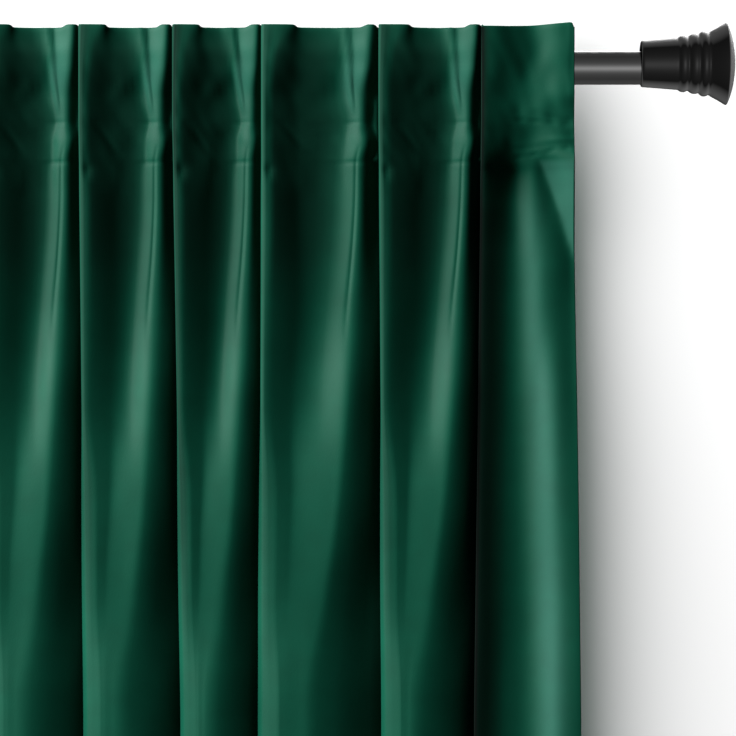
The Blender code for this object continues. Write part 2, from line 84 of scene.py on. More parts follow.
# One row per height, lengths in metres, depths counted back from the front.
# round: softness of the front edge. front: flat part of the fold's front width, a share.
# tilt: how far that part turns back, a share of it. bow, level, ledge: shape of the way
# down into the trough, from a curve to a step. trough: its depth. bed: depth at the foot
# of the ridge's slope, a share of the trough's. flank: run of that slope. bend, lift: its
# middle, as shares of the run and the climb. shelf: depth where the ridge starts. crest:
# the ridge's width. back: depth where it ends. gap: from there to the next edge. bank:
# steepness of the fall into the slit. slit: its depth. tuck: how far it reaches behind
# the next edge.
SECTIONS = [
    dict(z=TOP_Z, round=0.0, front=0.52, tilt=0.06, bow=1.2, level=1.35, ledge=0.8, trough=TOP_DEPTH,
         bed=0.75, flank=0.03, bend=0.7, lift=-0.5, shelf=0.0056, crest=0.0087, back=0.0008, gap=0.0057,
         bank=0.55, slit=0.013, tuck=0.0005),
    dict(z=0.013, round=0.0, front=0.4, tilt=0.06, bow=1.3, level=1.2, ledge=0.2, trough=TOP_DEPTH,
         bed=0.8, flank=0.0265, bend=0.72, lift=-0.6, shelf=0.0062, crest=0.0088, back=0.0012, gap=0.0067,
         bank=0.6, slit=0.014, tuck=0.0005),
    dict(z=0.0, round=0.0, front=0.3, tilt=0.1, bow=1.2, level=1.3, ledge=0.1, trough=0.0118, bed=0.76,
         flank=0.0235, bend=0.72, lift=-0.3, shelf=0.01, crest=0.01, back=0.0036, gap=0.0077,
         bank=0.6, slit=0.0155, tuck=0.0005),
    dict(z=-0.024, round=0.0, front=0.25, tilt=0.16, bow=1.2, level=1.25, ledge=0.0, trough=TROUGH_DEPTH,
         bed=0.72, flank=0.0235, bend=0.77, lift=-1.0, shelf=0.0162, crest=0.0078, back=0.011,
         gap=0.0109, bank=0.65, slit=0.022, tuck=0.0005),
    dict(z=PINCH_Z, round=0.0, front=0.25, tilt=0.16, bow=1.2, level=1.25, ledge=0.0,
         trough=TROUGH_DEPTH, bed=0.72, flank=0.0235, bend=0.79, lift=-1.0, shelf=0.0158, crest=0.0052,
         back=0.012, gap=0.011, bank=0.75, slit=0.024, tuck=0.0005),
    dict(z=-0.056, round=0.0, front=0.25, tilt=0.16, bow=1.2, level=1.25, ledge=0.0, trough=TROUGH_DEPTH,
         bed=0.72, flank=0.0225, bend=0.76, lift=-1.0, shelf=0.015, crest=0.0088, back=0.01, gap=0.0092,
         bank=0.8, slit=0.0255, tuck=0.001),
    dict(z=SEAM_Z, round=0.0, front=0.25, tilt=0.14, bow=1.25, level=1.2, ledge=0.0, trough=TROUGH_DEPTH,
         bed=0.72, flank=0.0225, bend=0.74, lift=-1.0, shelf=0.015, crest=0.007, back=0.011, gap=0.0115,
         bank=0.95, slit=0.0265, tuck=0.0015),
    dict(z=-0.1, round=0.001, front=0.3, tilt=0.1, bow=1.25, level=1.0, ledge=0.0, trough=0.018,
         bed=0.76, flank=0.022, bend=0.68, lift=-0.45, shelf=0.015, crest=0.007, back=0.011, gap=0.012,
         bank=0.95, slit=0.0275, tuck=0.002),
    dict(z=-0.173, round=0.001, front=0.25, tilt=0.1, bow=1.25, level=1.05, ledge=0.0, trough=0.0155,
         bed=0.8, flank=0.018, bend=0.58, lift=-0.15, shelf=0.0115, crest=0.008, back=0.0085, gap=0.0156,
         bank=0.55, slit=0.027, tuck=0.003),
    dict(z=-0.246, round=0.001, front=0.22, tilt=0.1, bow=1.2, level=1.05, ledge=0.0, trough=0.0095,
         bed=0.84, flank=0.0195, bend=0.52, lift=0.0, shelf=0.0012, crest=0.0065, back=-0.0008,
         gap=0.019, bank=0.5, slit=0.026, tuck=0.0035),
    dict(z=-0.32, round=0.006, front=0.5, tilt=0.0, bow=1.1, level=1.0, ledge=0.0, trough=0.0026,
         bed=0.95, flank=0.019, bend=0.6, lift=0.6, shelf=-0.001, crest=0.005, back=-0.002, gap=0.0245,
         bank=0.42, slit=0.026, tuck=0.004),
    dict(z=-0.393, round=0.009, front=0.5, tilt=-0.02, bow=1.0, level=1.0, ledge=0.0, trough=0.0006,
         bed=1.0, flank=0.018, bend=0.6, lift=0.42, shelf=-0.0002, crest=0.006, back=0.0, gap=0.0315,
         bank=0.47, slit=0.027, tuck=0.0045),
    dict(z=-0.466, round=0.008, front=0.65, tilt=-0.28, bow=1.0, level=1.0, ledge=0.0, trough=-0.004,
         bed=1.0, flank=0.012, bend=0.6, lift=0.42, shelf=-0.0048, crest=0.008, back=-0.0047, gap=0.04,
         bank=0.38, slit=0.027, tuck=0.005),
    dict(z=-1.1, round=0.008, front=0.6, tilt=-0.18, bow=1.0, level=1.0, ledge=0.0, trough=-0.0038,
         bed=1.0, flank=0.014, bend=0.6, lift=0.42, shelf=-0.0041, crest=0.008, back=-0.0036, gap=0.0415,
         bank=0.4, slit=0.027, tuck=0.005),
    dict(z=-1.8, round=0.008, front=0.6, tilt=-0.12, bow=1.0, level=1.0, ledge=0.0, trough=-0.0028,
         bed=1.0, flank=0.014, bend=0.6, lift=0.42, shelf=-0.0031, crest=0.009, back=-0.0026, gap=0.04,
         bank=0.42, slit=0.027, tuck=0.0045),
    dict(z=HEM_Z, round=0.008, front=0.6, tilt=-0.08, bow=1.0, level=1.0, ledge=0.0, trough=-0.002,
         bed=1.0, flank=0.014, bend=0.6, lift=0.42, shelf=-0.0023, crest=0.009, back=-0.0018, gap=0.038,
         bank=0.45, slit=0.027, tuck=0.004),
]
# The end panel: depths in mm at END_STATIONS, which are in mm from its front edge.
END_STATIONS = (3, 9, 15, 21, 27, 33, 39, 45, 51, 57, 63)
END_SECTIONS = [
    dict(z=TOP_Z, depths=(2.5, 3.5, 5.6, 7.8, 9.5, 11.2, 11.8, 9.8, 7.2, 4.6, 4.2), edge=3.8),
    dict(z=0.010, depths=(2.5, 3.3, 5.3, 7.6, 9.2, 10.4, 11.8, 11.2, 8.2, 6.0, 5.4), edge=5.4),
    dict(z=-0.005, depths=(2.5, 3.7, 5.9, 8.0, 9.8, 11.4, 11.2, 10.2, 9.5, 7.2, 6.6), edge=6.8),
    dict(z=-0.020, depths=(2.5, 4.6, 6.4, 8.6, 10.0, 9.9, 9.7, 9.3, 8.0, 6.5, 6.2), edge=6.0),
    dict(z=-0.031, depths=(2.6, 4.8, 6.6, 8.5, 10.2, 9.5, 9.1, 9.0, 9.3, 8.2, 8.7), edge=8.8),
    dict(z=PINCH_Z, depths=(3.0, 5.2, 7.1, 9.1, 10.4, 10.6, 10.8, 10.6, 10.4, 9.4, 9.8), edge=10.0),
    dict(z=-0.052, depths=(4.0, 6.4, 8.4, 11.0, 12.0, 12.9, 12.8, 11.6, 10.6, 9.2, 9.2), edge=9.4),
    dict(z=-0.061, depths=(5.5, 8.0, 10.6, 13.8, 14.2, 14.2, 13.6, 13.2, 13.2, 13.2, 13.2), edge=13.2),
    dict(z=SEAM_Z, depths=(8.0, 11.5, 15.0, 18.0, 19.0, 17.0, 15.8, 17.2, 17.5, 17.8, 18.0), edge=18.0),
    dict(z=-0.080, depths=(11.5, 15.5, 19.6, 22.8, 23.6, 20.6, 17.6, 19.3, 20.4, 20.8, 20.8), edge=20.8),
    dict(z=-0.099, depths=(14.5, 18.0, 21.8, 25.0, 26.0, 22.8, 19.4, 19.9, 21.5, 22.2, 22.4), edge=22.4),
    dict(z=-0.125, depths=(14.8, 18.2, 21.6, 24.6, 25.8, 23.8, 20.6, 19.8, 20.2, 21.6, 23.4), edge=23.8),
    dict(z=-0.140, depths=(14.0, 17.2, 20.4, 23.2, 24.4, 23.2, 20.8, 19.0, 19.0, 19.8, 21.4), edge=22.6),
    dict(z=-0.173, depths=(12.5, 15.5, 18.5, 21.1, 22.4, 21.8, 19.6, 17.4, 17.2, 18.0, 19.2), edge=20.2),
    dict(z=-0.248, depths=(8.0, 11.0, 14.0, 16.4, 17.6, 17.2, 15.2, 12.8, 9.6, 8.2, 9.0), edge=10.2),
    dict(z=-0.322, depths=(6.0, 9.0, 11.8, 14.1, 15.5, 15.8, 14.4, 11.5, 8.4, 5.7, 5.1), edge=5.4),
    dict(z=-0.397, depths=(5.0, 7.8, 10.4, 12.6, 14.1, 14.9, 14.5, 12.4, 9.3, 6.2, 3.9), edge=3.5),
    dict(z=-0.472, depths=(4.0, 6.6, 9.1, 11.2, 12.6, 13.5, 13.4, 11.8, 8.8, 5.4, 3.1), edge=2.6),
    dict(z=HEM_Z, depths=(4.0, 6.6, 9.2, 11.4, 12.8, 13.4, 13.0, 11.4, 8.7, 5.8, 3.8), edge=3.4),
]
EDGE_LIP = 0.0006         # how far a fold's edge bulges past its line
HAIRPIN = 0.0045          # width of the turn at the bottom of a slit
DEEPEST_POINT = 7         # a fold's plan point in the deepest part of its trough
SLIT_POINT = 12           # its first point in the slit

# ---- Looks ----
VELVET_GREEN = (0.0005, 0.080, 0.044)
HIGHLIGHT_TINT = (0.042, 0.030, 0.050)   # paler tint of the painted highlight, added in full where the painted light makes the colour twice as light as plain

# ---- Sampling of the cloth ----
FOLD_STEPS = (1, 2, 2, 2, 3, 3, 3, 5, 8, 4, 3, 2, 2, 1, 2, 2)   # columns after each plan point
END_STEPS = 4
ROW_BANDS = [             # height bands from the top down, and the spacing of rows in each
    dict(low=-0.036, step=0.0030),
    dict(low=-0.078, step=0.0016),
    dict(low=-0.110, step=0.0034),
    dict(low=-0.520, step=0.0085),
    dict(low=HEM_Z, step=0.0400),
]

LAYER = 0.0008            # from the cloth's middle to its face or back
FACING_LOW = -0.0735      # lower edge of the heading folded to the back
FACING_ROWS = 10
BOTTOM_HEM = 0.070
HEM_ROWS = 4
SIDE_HEM = 0.035
HEM_STEP = 0.0004         # a side hem lies this much farther back than the folded heading
HEM_COLUMNS = 14
HEM_COLUMNS_MAX = 60

# ---- Back tabs ----
TAB_SEAM = 0.007
TAB_THICKNESS = 0.0012
TAB_TURN_STEPS = 24
TAB_OUTLINE = (           # outline of the band: across, and out from its middle
    (-0.0084, 0.0006), (0.0, 0.0006), (0.0084, 0.0006), (0.0090, 0.0003), (0.0090, -0.0003),
    (0.0084, -0.0006), (0.0, -0.0006), (-0.0084, -0.0006), (-0.0090, -0.0003),
    (-0.0090, 0.0003), (-0.0084, 0.0006),
)

# ---- Finial, turned: place along its axis and radius ----
FINIAL_START = 0.4090
FINIAL_RISE = 0.0030      # its axis lies above the rod's
MOUTH_DEPTH = 0.0040
MOUTH_RADIUS = 0.0160
ROD_WALL = 0.0012
ROD_END_GAP = 0.0004      # between the rod's end and the bottom of the mouth
FINIAL_OUTLINE = [
    dict(part="mouth", along=0.0004, radius=0.0169),
    dict(part="sleeve", along=0.0010, radius=0.0173),
    dict(part="sleeve", along=0.0025, radius=0.0174),
    dict(part="sleeve", along=0.0250, radius=0.0192),
    dict(part="sleeve", along=0.0262, radius=0.0193),
    dict(part="groove 1", along=0.0269, radius=0.0193),
    dict(part="groove 1", along=0.0276, radius=0.0194),
    dict(part="bead 1", along=0.0286, radius=0.0202),
    dict(part="bead 1", along=0.0301, radius=0.0209),
    dict(part="bead 1", along=0.0318, radius=0.0211),
    dict(part="bead 1", along=0.0334, radius=0.0207),
    dict(part="groove 2", along=0.0344, radius=0.0202),
    dict(part="groove 2", along=0.0352, radius=0.0202),
    dict(part="bead 2", along=0.0362, radius=0.0210),
    dict(part="bead 2", along=0.0378, radius=0.0220),
    dict(part="bead 2", along=0.0398, radius=0.0224),
    dict(part="bead 2", along=0.0414, radius=0.0223),
    dict(part="groove 3", along=0.0423, radius=0.0219),
    dict(part="groove 3", along=0.0431, radius=0.0220),
    dict(part="bead 3", along=0.0442, radius=0.0232),
    dict(part="bead 3", along=0.0457, radius=0.0241),
    dict(part="bead 3", along=0.0474, radius=0.0243),
    dict(part="bead 3", along=0.0490, radius=0.0239),
    dict(part="groove 4", along=0.0501, radius=0.0233),
    dict(part="groove 4", along=0.0509, radius=0.0234),
    dict(part="flare", along=0.0519, radius=0.0242),
    dict(part="flare", along=0.0575, radius=0.0272),
    dict(part="rim", along=0.0626, radius=0.0303),
    dict(part="rim", along=0.0636, radius=0.0306),
    dict(part="rim", along=0.0642, radius=0.0302),
    dict(part="dome", along=0.0650, radius=0.0285),
    dict(part="dome", along=0.0665, radius=0.0245),
    dict(part="dome", along=0.0682, radius=0.0185),
    dict(part="dome", along=0.0695, radius=0.0110),
    dict(part="dome", along=0.0701, radius=0.0050),
    dict(part="dome", along=0.0702, radius=0.0000),
]

# ---- Camera: front on, level with the middle of the picture ----
CAMERA_DISTANCE = 2.6
CAMERA_AIM = (0.2055, -0.2239)
VIEW_WIDTH = 0.5493       # width seen at the rod
SENSOR = 36.0

# ---- Stage and lamps ----
WALL_Y = 0.044
WALL_SIZE = (8.0, 6.0)
WALL_MIDDLE = 2.9         # height of the wall's middle above the hem
FLOOR_SIZE = 8.0
FLOOR_DROP = 0.003
STAGE_GLOW = 0.075
WORLD_GLOW = 0.008
DRAPE_TARGET = (0.20, 0.0, -0.30)
ROD_TARGET = (0.42, 0.0, 0.0)
# Angles in degrees: left of the camera's line and above it. Power in watts.
LAMPS = dict(
    key=dict(azimuth=67.0, elevation=27.0, distance=3.2, size=1.9, power=250.0),
    wall_light=dict(azimuth=42.0, elevation=27.0, distance=3.0, size=4.6, power=305.0),
    rod_light=dict(azimuth=-8.0, elevation=-8.0, distance=2.4, size=0.4, power=54.0),
    back=dict(azimuth=200.0, elevation=30.0, distance=3.2, size=1.6, power=120.0),
)


def ramp(value, start, stop):
    """0 where the value is at start or before it, 1 from stop on, and a straight line between."""
    return min(max((value - start) / (stop - start), 0.0), 1.0)


def bell(offset, width):
    """Soft bump: 1 at the middle, falling to 0 over about twice the width."""
    return math.exp(-(offset / width) ** 2)


def smooth_value(rows, column, z):
    """Read a column at height z: a monotone cubic through the table's rows."""
    xs = [-row["z"] for row in rows]
    ys = [row[column] for row in rows]
    return smooth_curve(xs, ys, -z)


def smooth_curve(xs, ys, x):
    """A monotone cubic through the points (xs, ys), held level outside them."""
    x = min(max(x, xs[0]), xs[-1])
    slopes = [(ys[i + 1] - ys[i]) / (xs[i + 1] - xs[i]) for i in range(len(xs) - 1)]
    tangents = [slopes[0]] + [0.0] * (len(xs) - 2) + [slopes[-1]]
    for i in range(1, len(xs) - 1):
        before, after = slopes[i - 1], slopes[i]
        if before * after > 0.0:
            tangents[i] = 2.0 * before * after / (before + after)
    i = max(k for k in range(len(xs) - 1) if x >= xs[k])
    step = xs[i + 1] - xs[i]
    t = (x - xs[i]) / step
    return (
        (2 * t**3 - 3 * t**2 + 1) * ys[i]
        + (t**3 - 2 * t**2 + t) * step * tangents[i]
        + (3 * t**2 - 2 * t**3) * ys[i + 1]
        + (t**3 - t**2) * step * tangents[i + 1]
    )


def read_row(rows, z):
    """All the columns of a table at height z."""
    return {name: smooth_value(rows, name, z) for name in rows[0] if name != "z"}


def edge_x(fold, z):
    """X of a fold's front edge at height z, which leans sideways below the heading."""
    share = ramp(z, PINCH_Z, LEAN_Z) + ramp(z, LEAN_Z, HEM_Z) * (HEM_LEAN - 1.0)
    return fold["edge"] + fold["lean"] * share


def heading_share(z):
    """1 in the heading, falling smoothly to 0 at LEAN_Z."""
    share = ramp(z, LEAN_Z, SEAM_Z)
    return share * share * (3.0 - 2.0 * share)


def fold_frame(fold, next_fold, z):
    """Where one fold's main lines run at height z: x from its front edge, and depths."""
    row = read_row(SECTIONS, z)
    start = edge_x(fold, z)
    pitch = edge_x(next_fold, z) - start
    full = 1.0 + (fold["full"] - 1.0) * (1.0 - heading_share(z))
    front = fold["front"] * row["front"]
    crest_end = pitch - row["gap"] * fold["gap"]
    crest_start = crest_end - row["crest"]
    foot = crest_start - row["flank"] * fold["flank"]
    foot = max(foot, front + 0.35 * (crest_start - front))
    row.update(
        start=start, pitch=pitch, front=front, foot=foot, crest_start=crest_start,
        crest_end=crest_end, trough=row["trough"] * full, slit=row["slit"] * full,
        shoulder=row["tilt"] * front, fall=pitch + row["tuck"] - crest_end,
    )
    return row


def fold_points(fold, next_fold, z):
    """Plan points of one fold at height z: (x, depth behind the front) from left to right."""
    row = fold_frame(fold, next_fold, z)
    front, foot, crest_start = row["front"], row["foot"], row["crest_start"]
    trough, slit, shelf = row["trough"], row["slit"], row["shelf"]
    end = row["pitch"] + row["tuck"]

    def sunk(share, ledge_way, ledge_drop):
        """Point on the way down from the front to the foot of the slope."""
        way = share + (ledge_way - share) * row["ledge"]
        soft = 1.0 - (1.0 - share ** row["bow"]) ** row["level"]
        drop = soft + (ledge_drop - soft) * row["ledge"]
        depth = row["shoulder"] + (trough * row["bed"] - row["shoulder"]) * drop
        return (front + (foot - front) * way, depth)

    def fallen(share, bend):
        """Point on the bank right of the crest."""
        x = row["crest_end"] + row["fall"] * share
        return (x, row["back"] + row["bank"] * row["fall"] * share * bend)

    points = [
        (-EDGE_LIP - row["round"] * 0.3, EDGE_LIP * 1.5 + row["round"] * 0.3),
        (EDGE_LIP + row["round"] * 0.25, row["round"] * 0.08),
        (front, row["shoulder"]),
        sunk(0.12, 0.52, 0.18),
        sunk(0.40, 0.67, 0.34),
        sunk(0.72, 0.68, 0.66),
        (foot, trough * row["bed"]),
        (foot + (crest_start - foot) * row["bend"], trough + (shelf - trough) * row["lift"]),
        (crest_start, shelf),
        (row["crest_end"], row["back"]),
        fallen(0.35, 0.75),
        fallen(0.75, 1.05),
        (end, row["back"] + (slit - row["back"]) * 0.7),
        (end, slit),
        (end + HAIRPIN, slit),
        (end + HAIRPIN * 0.4, slit * 0.28),
    ]
    return [(row["start"] + x, depth) for x, depth in points]


def depth_limit(z):
    """How far back the troughs may reach: the tabs are sewn flat against them."""
    if z < SEAM_Z:
        return 1.0
    return TOP_DEPTH + (TROUGH_DEPTH - TOP_DEPTH) * ramp(z, TOP_BAND, 0.0)


def end_points(z):
    """Plan points of the end panel, from its front edge to the side edge of the cloth."""
    heights = [-row["z"] for row in END_SECTIONS]
    start = edge_x(END_PANEL, z)
    width = edge_x(END_EDGE, z) - start
    depths = [
        smooth_curve(heights, [row["depths"][k] for row in END_SECTIONS], -z) / 1000
        for k in range(len(END_STATIONS))
    ]
    edge = smooth_value(END_SECTIONS, "edge", z) / 1000
    points = [(-EDGE_LIP, depths[0] + EDGE_LIP), (EDGE_LIP, depths[0] - EDGE_LIP * 0.5)]
    points += [(x / 1000, depth) for x, depth in zip(END_STATIONS, depths)]
    points += [(width - 0.003, edge), (width, edge + 0.0002)]
    return [(start + x, depth) for x, depth in points]


def cage(z):
    """All the plan points of the cloth at height z."""
    points = []
    for fold, next_fold in zip(FOLDS, FOLDS[1:] + [END_PANEL]):
        points += fold_points(fold, next_fold, z)
    end = end_points(z)
    x, depth = points[-1]
    points[-1] = (x, max(depth, end[0][1] - 0.001))
    return points + end


def column_steps():
    """Columns to sample after each cage point, finer on the ridges than in the slits."""
    steps = list(FOLD_STEPS) * len(FOLDS)
    return steps + [END_STEPS] * (len(END_STATIONS) + 3)


def spline(points, steps):
    """Uniform cubic B-spline along a cage, ends held, as (x, depth, place in the cage)."""
    first = tuple(2 * a - b for a, b in zip(points[0], points[1]))
    last = tuple(2 * a - b for a, b in zip(points[-1], points[-2]))
    full = [first] + points + [last]
    curve = []
    for i, count in enumerate(steps):
        for k in range(count):
            t = k / count
            weights = (
                (1 - t) ** 3 / 6,
                (3 * t**3 - 6 * t**2 + 4) / 6,
                (-3 * t**3 + 3 * t**2 + 3 * t + 1) / 6,
                t**3 / 6,
            )
            four = full[i:i + 4]
            x, depth = (sum(w * p[c] for w, p in zip(weights, four)) for c in (0, 1))
            curve.append((x, depth, i + t))
    curve.append((*points[-1], float(len(points) - 1)))
    return curve


# ---- Creases, in the cloth's own sizes: x from the crest's end, + is into the cloth ----
ARM = [        # left arm of the ridge that forks above the pinch
    dict(z=TOP_Z, x=-0.0180, deep=-0.0021, wide=0.0025),
    dict(z=0.0000, x=-0.0128, deep=-0.0019, wide=0.0023),
    dict(z=-0.0240, x=-0.0068, deep=-0.0011, wide=0.0020),
    dict(z=-0.0360, x=-0.0050, deep=0.0000, wide=0.0020),
]
ARM_GROOVE = [
    dict(z=TOP_Z, x=-0.0195, deep=0.0000, wide=0.0010),
    dict(z=0.0160, x=-0.0168, deep=0.0003, wide=0.0010),
    dict(z=0.0000, x=-0.0118, deep=0.0003, wide=0.0010),
    dict(z=-0.0240, x=-0.0046, deep=0.0003, wide=0.0010),
    dict(z=-0.0400, x=-0.0036, deep=0.0000, wide=0.0010),
]
RIDGE_GROOVE = [   # between the broad ridge and the thin one, from the seam down
    dict(z=-0.0600, x=-0.0032, deep=0.0002, wide=0.0010),
    dict(z=-0.0760, x=-0.0030, deep=0.0007, wide=0.0010),
    dict(z=-0.1350, x=-0.0034, deep=0.0009, wide=0.0011),
    dict(z=-0.1730, x=-0.0046, deep=0.0007, wide=0.0014),
    dict(z=-0.2050, x=-0.0060, deep=0.0000, wide=0.0020),
]
HEADING_CREASES = [    # faint slanting creases in each trough: from one point to another
    dict(x1=0.0115, z1=-0.0430, x2=0.0275, z2=-0.0660, deep=0.0009, wide=0.0022),
    dict(x1=0.0270, z1=-0.0360, x2=0.0400, z2=-0.0540, deep=0.0007, wide=0.0024),
    dict(x1=0.0360, z1=-0.0080, x2=0.0450, z2=-0.0300, deep=0.0007, wide=0.0026),
    dict(x1=0.0240, z1=-0.0260, x2=0.0380, z2=-0.0080, deep=-0.0009, wide=0.0048),
    dict(x1=0.0340, z1=-0.0600, x2=0.0300, z2=-0.0960, deep=0.0006, wide=0.0030),
]
USUAL_PITCH = 0.0700      # a fold this wide has the slanting creases at exactly those places
CREASED_ABOVE = -0.12     # and they end above this height
RIDGE_MIDDLE = -0.0055
RIDGE_WIDTH = 0.0060
STITCH_DENT = 0.0008      # the two rows of stitching pull the ridge in
STITCH_WIDTH = 0.0013
KNUCKLE_SWELL = 0.0006    # between them it swells out
KNUCKLE_REACH = 0.0150    # to each side of its middle height
EDGE_DIMPLE = dict(x=0.0050, z=SEAM_Z - 0.0070, deep=0.0014, wide=0.0030, high=0.0050)
END_PUCKERS = [    # bend: share of the waviness they follow, pull: 1 where stitches gather them
    dict(z=PINCH_Z, bend=0.4, pull=1, deep=0.0006, wide=0.0015),
    dict(z=PINCH_Z + 0.0050, bend=1.0, pull=1, deep=0.0005, wide=0.0016),
    dict(z=SEAM_Z + 0.0070, bend=-1.0, pull=1, deep=0.0007, wide=0.0016),
    dict(z=SEAM_Z + 0.0120, bend=-0.6, pull=0, deep=0.0004, wide=0.0018),
]
END_VALLEY = [     # oblique valley of the end panel: the cloth right of it turns forward
    dict(z=-0.0520, x=0.0375, climb=0.00),
    dict(z=-0.0610, x=0.0390, climb=0.18),
    dict(z=-0.0715, x=0.0440, climb=0.48),
    dict(z=-0.0836, x=0.0492, climb=0.58),
    dict(z=-0.1060, x=0.0577, climb=0.60),
    dict(z=-0.1280, x=0.0647, climb=0.52),
    dict(z=-0.1420, x=0.0705, climb=0.30),
]
VALLEY_BEND = 0.0009
FAR_FROM_VALLEY = 30.0    # in widths of that bend
TOP_WAVE = 0.0020         # the top edge stands this much higher on the fronts than in the troughs
TOP_DROP = 0.0005
CORNER_RISE = 0.0030      # the end panel's top edge climbs to its corner
CORNER_START = 0.955      # and is rounded off from here on, a share of the panel's width
CORNER_DROP = 0.0030
WRINKLE_DEPTH = 0.0007


def line_depth(rows, z, x):
    """Depth added by a crease that runs down the cloth, at x from the crest's end."""
    if z > rows[0]["z"] or z < rows[-1]["z"]:
        return 0.0
    row = read_row(rows, z)
    return row["deep"] * bell(x - row["x"], row["wide"])


def slant(crease, x, z):
    """Depth that a slanting crease adds at x from the fold's edge and height z."""
    across, down = crease["x2"] - crease["x1"], crease["z2"] - crease["z1"]
    length = math.hypot(across, down)
    along = ((x - crease["x1"]) * across + (z - crease["z1"]) * down) / length
    aside = ((x - crease["x1"]) * down - (z - crease["z1"]) * across) / length
    share = ramp(along, 0.0, length)
    beyond = math.hypot(aside, along - share * length)
    return crease["deep"] * bell(beyond, crease["wide"]) * math.sin(math.pi * (0.15 + 0.7 * share))


def fold_crease(frame, z, x):
    """Depth that the creases of one fold add at height z and x."""
    from_crest = x - frame["start"] - frame["crest_end"]
    depth = line_depth(ARM, z, from_crest)
    depth += line_depth(ARM_GROOVE, z, from_crest)
    depth += line_depth(RIDGE_GROOVE, z, from_crest)
    over_ridge = bell(from_crest - RIDGE_MIDDLE, RIDGE_WIDTH)
    stitched = bell(z - PINCH_Z, STITCH_WIDTH) + bell(z - SEAM_Z, STITCH_WIDTH)
    knuckle = max(0.0, 1.0 - ((z - (PINCH_Z + SEAM_Z) / 2) / KNUCKLE_REACH) ** 2)
    depth += over_ridge * (STITCH_DENT * stitched - KNUCKLE_SWELL * knuckle)
    from_edge = x - frame["start"]
    if z > CREASED_ABOVE:
        stretch = USUAL_PITCH / frame["pitch"]
        depth += sum(slant(crease, from_edge * stretch, z) for crease in HEADING_CREASES)
    dimple = EDGE_DIMPLE
    beside = bell(from_edge - dimple["x"], dimple["wide"])
    return depth + dimple["deep"] * beside * bell(z - dimple["z"], dimple["high"])


def end_crease(across, z):
    """Puckers along the end panel's two rows of stitching, and its corner that turns forward."""
    wave = 0.0035 * math.sin(across * 70.0)
    gathers = 0.6 + 0.4 * math.sin(across * 520.0)
    depth = 0.0
    for row in END_PUCKERS:
        line = bell(z - row["z"] - wave * row["bend"], row["wide"])
        depth += row["deep"] * line * (gathers if row["pull"] else 1.0)
    past = min(past_valley(across, z), FAR_FROM_VALLEY)
    climb = smooth_value(END_VALLEY, "climb", z)
    turned = climb * VALLEY_BEND * math.log1p(math.exp(past))
    return depth * ramp(across, 0.020, 0.030) - turned


def past_valley(across, z):
    """How far right of the end panel's valley a point lies, in widths of the valley's bend."""
    if not END_VALLEY[-1]["z"] < z < END_VALLEY[0]["z"]:
        return -FAR_FROM_VALLEY
    return (across - smooth_value(END_VALLEY, "x", z)) / VALLEY_BEND


# ---- Painted shade and highlight on the cloth: 1 is plain, less is darker, more is lighter ----
# Shares of the plain colour: painted shade in the slits and the troughs, painted highlight on the
# crests. power: how strongly an edge's own painted shade, from the table below, counts at that height.
SHADE_AND_LIGHT = [
    dict(z=TOP_Z, power=1.00, slit=0.72, trough=0.95, crest=1.10),
    dict(z=0.0080, power=1.00, slit=0.72, trough=0.62, crest=1.28),
    dict(z=-0.0090, power=1.00, slit=0.72, trough=0.60, crest=1.45),
    dict(z=-0.0240, power=1.00, slit=0.72, trough=0.62, crest=1.25),
    dict(z=PINCH_Z, power=1.00, slit=0.72, trough=0.62, crest=1.08),
    dict(z=-0.0900, power=0.55, slit=0.42, trough=0.60, crest=1.00),
    dict(z=-0.1250, power=0.53, slit=0.43, trough=0.65, crest=1.00),
    dict(z=-0.1850, power=0.50, slit=0.44, trough=1.00, crest=1.00),
    dict(z=-0.3000, power=0.45, slit=0.45, trough=1.00, crest=1.00),
    dict(z=-0.4200, power=0.00, slit=0.42, trough=1.00, crest=1.00),
]
# Painted shade on the front edge of each fold and, last, of the end panel.
EDGE_SHADES = (0.35, 0.50, 0.25, 0.45, 0.35, 0.35, 0.12, 0.65, 0.42, 0.04)
EDGE_PLACE = 0.8          # where the painted shade of an edge counts most, in plan points
CREST_PLACE = 8.2         # and the painted highlight of a crest
END_RIDGE_HIGHLIGHT = [      # painted highlight along the end panel's ridge: x from the panel's edge
    dict(z=-0.0800, x=0.0360, gain=0.00),
    dict(z=-0.1250, x=0.0380, gain=0.30),
    dict(z=-0.1730, x=0.0400, gain=0.32),
    dict(z=-0.2480, x=0.0480, gain=0.50),
    dict(z=-0.3220, x=0.0515, gain=0.48),
    dict(z=-0.3970, x=0.0545, gain=0.58),
    dict(z=-0.4720, x=0.0575, gain=0.60),
]
END_RIDGE_WIDTH = 0.0100
VALLEY_HIGHLIGHT = 0.50            # painted highlight: how much lighter the colour is right of the end panel's valley
END_INNER_SHADE = 0.55    # painted shade: how much darker the colour is near the panel's edge, below the heading


def fold_shade_and_light(fold, point, z):
    """Painted shade and highlight at one plan point of a fold, from the shares of the parts it lies in.
    """
    look = read_row(SHADE_AND_LIGHT, z)
    own, following = (EDGE_SHADES[number] ** look["power"] for number in (fold, fold + 1))
    if fold + 1 == len(FOLDS):
        following = EDGE_SHADES[-1]
    trough = ramp(point, 2.0, 3.0) * ramp(point, 7.6, 6.3)
    # painted shade at the fold's own edge, in the trough, in the slit and at the next edge; painted
    # highlight on the crest
    shares = (
        (own, bell(point - EDGE_PLACE, 0.9)),
        (look["trough"], trough),
        (look["crest"], bell(point - CREST_PLACE, 1.1)),
        (look["slit"], ramp(point, 10.5, 12.0)),
        (following, ramp(point, 13.5, 15.0)),
    )
    return math.prod(1.0 - (1.0 - share) * part for share, part in shares)


